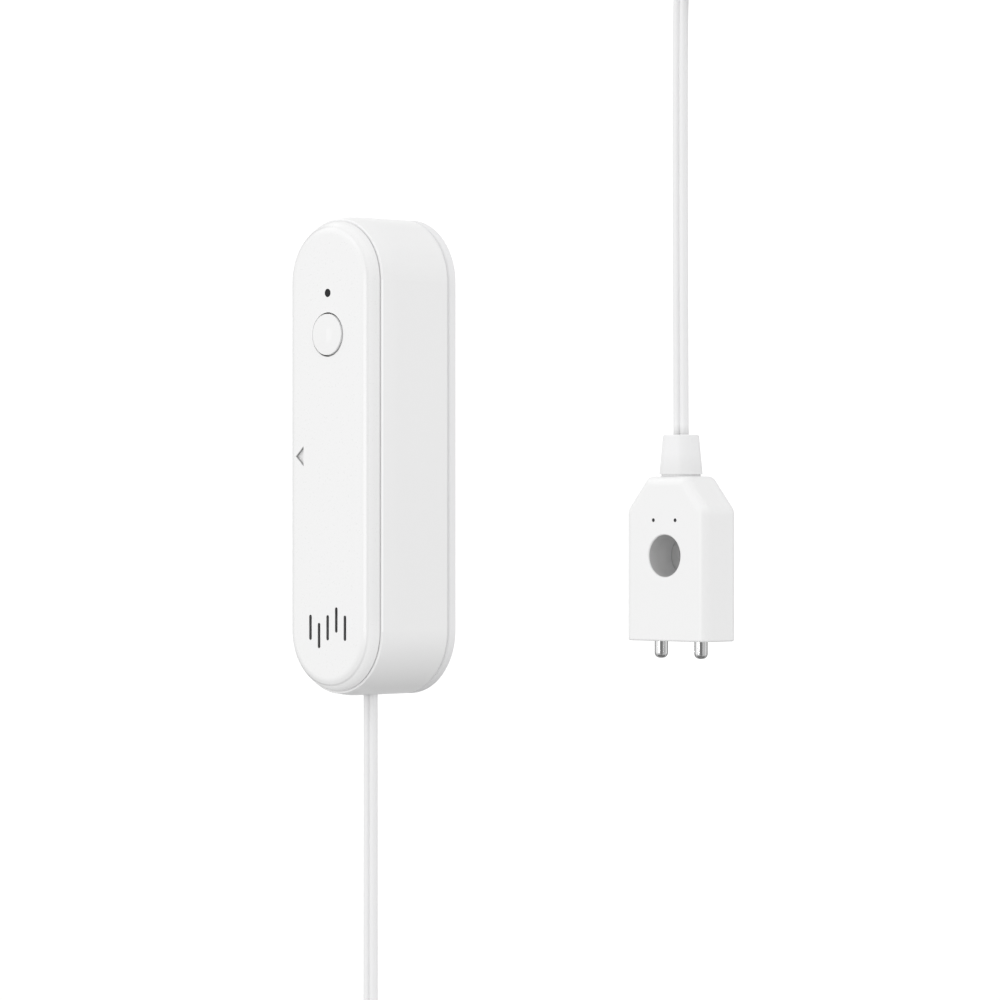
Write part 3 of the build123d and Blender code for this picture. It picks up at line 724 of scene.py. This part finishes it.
def build_cord():
    """The whole cord as one piece, in place of the three plain stretches of the CAD."""
    line = spline_points(cord_controls())
    cord = bpy.data.objects.new("flat_twin_cord", cord_mesh(line))
    bpy.context.scene.collection.objects.link(cord)
    cord.data.materials.append(cord_finish())
    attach(cord, "detector")
    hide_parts("cord_lower", "cord_coil", "cord_upper")


def area_light(name, place_at, size, power):
    """A rectangular light that the camera doesn't show."""
    data = bpy.data.lights.new(name, "AREA")
    data.shape = "RECTANGLE"
    data.size, data.size_y = size
    data.energy = power
    lamp = bpy.data.objects.new(name, data)
    lamp.location = place_at
    direction = Vector(LIGHT_AIM) - Vector(place_at)
    lamp.rotation_euler = direction.to_track_quat("-Z", "Y").to_euler()
    lamp.visible_camera = False
    bpy.context.scene.collection.objects.link(lamp)


def plain_sheet(name, corners, material):
    """A piece of the stage with four corners."""
    mesh = bpy.data.meshes.new(name)
    mesh.from_pydata(corners, [], [(0, 1, 2, 3)])
    mesh.materials.append(material)
    piece = bpy.data.objects.new(name, mesh)
    bpy.context.scene.collection.objects.link(piece)
    return piece


def lie_flat(centre, half):
    """The corners of a level square."""
    return [(centre[0] + x * half, centre[1] + y * half, centre[2]) for x, y in SQUARE]


def card_finish(name, grey):
    """A card's matt grey."""
    return moulded(name + "_finish", (grey,) * 3, CARD_ROUGHNESS)


def only_reflected(card):
    """Hides a card from the camera and from diffuse light, and gives it no shadow."""
    card.visible_camera = False
    card.visible_diffuse = False
    card.visible_shadow = False


def reflection_card(name, azimuth, half_width, grey):
    """An upright card round the probe that only reflections show, as studio flags are used."""
    turn = math.radians(azimuth)
    out = Vector((math.sin(turn), -math.cos(turn), 0))
    along = Vector((math.cos(turn), math.sin(turn), 0))
    up = Vector((0, 0, 1))
    centre = Vector((probe_x, 0, 0)) + out * CARD_DISTANCE
    corners = [tuple(centre + along * (x * half_width) + up * (z * CARD_HALF_HEIGHT)) for x, z in SQUARE]
    only_reflected(plain_sheet(name, corners, card_finish(name, grey)))


def floor_finish(centre):
    """Pale, and thinning out between two distances from its centre, so that no edge shows."""
    material = moulded("floor_finish", (0.93, 0.93, 0.93), 0.7, grain=60.0)
    tree_nodes, links = material.node_tree.nodes, material.node_tree.links
    away = tree_nodes.new("ShaderNodeVectorMath")
    away.operation = "DISTANCE"
    away.inputs[1].default_value = centre
    links.new(tree_nodes["Texture Coordinate"].outputs["Object"], away.inputs[0])
    share = share_between(tree_nodes, links, away.outputs["Value"], FLOOR_HALF, FLOOR_FULL, "SMOOTHSTEP")
    links.new(share, tree_nodes["Principled BSDF"].inputs["Alpha"])
    return material


def build_stage():
    """A pale floor well below, and the cards that the pins and the rounded edges reflect."""
    centre = (FLOOR_X, FLOOR_Y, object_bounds()[0][2] - FLOOR_DROP)
    floor = plain_sheet("floor", lie_flat(centre, FLOOR_HALF), floor_finish(centre))
    floor.visible_diffuse = False
    floor.visible_glossy = False
    for name, turn, half_width, grey in CARDS:
        reflection_card(name, VIEW_AZIMUTH + turn, half_width, grey)
    low = lie_flat((probe_x, 0.0, LOW_CARD_Z), LOW_CARD_HALF)
    only_reflected(plain_sheet("low_card", low, card_finish("low_card", LOW_CARD_GREY)))


def build_world():
    """White round the horizon, a little softer overhead and dimmer below."""
    world = bpy.data.worlds.new("studio")
    bpy.context.scene.world = world
    world.use_nodes = True
    tree_nodes, links = world.node_tree.nodes, world.node_tree.links
    coordinates = tree_nodes.new("ShaderNodeTexCoord")
    split = tree_nodes.new("ShaderNodeSeparateXYZ")
    links.new(coordinates.outputs["Generated"], split.inputs["Vector"])
    ramp = tree_nodes.new("ShaderNodeValToRGB")
    elements = ramp.color_ramp.elements
    while len(elements) < len(WORLD_STOPS):
        elements.new(0.5)
    for element, (direction, glow) in zip(elements, WORLD_STOPS):
        element.position = (direction + 1) / 2
        element.color = (glow, glow, glow, 1)
    links.new(share_between(tree_nodes, links, split.outputs["Z"], -1.0, 1.0), ramp.inputs["Fac"])
    links.new(ramp.outputs["Color"], tree_nodes["Background"].inputs["Color"])
    tree_nodes["Background"].inputs["Strength"].default_value = WORLD_STRENGTH


def build_camera():
    """A level camera at the photo's place."""
    data = bpy.data.cameras.new("camera")
    data.sensor_width = SENSOR
    data.lens = LENS
    data.clip_start = CLIP_START
    camera = bpy.data.objects.new("camera", data)
    camera.location = CAMERA_PLACE
    camera.rotation_euler = (math.pi / 2, 0, math.radians(VIEW_AZIMUTH))
    bpy.context.scene.collection.objects.link(camera)
    bpy.context.scene.camera = camera


bpy.context.scene.view_settings.view_transform = "Standard"
dress_outside()
dress_inside()
dress_cord_and_probe()
build_cord()
build_stage()
build_world()
for light in LIGHTS:
    area_light(*light)
build_camera()
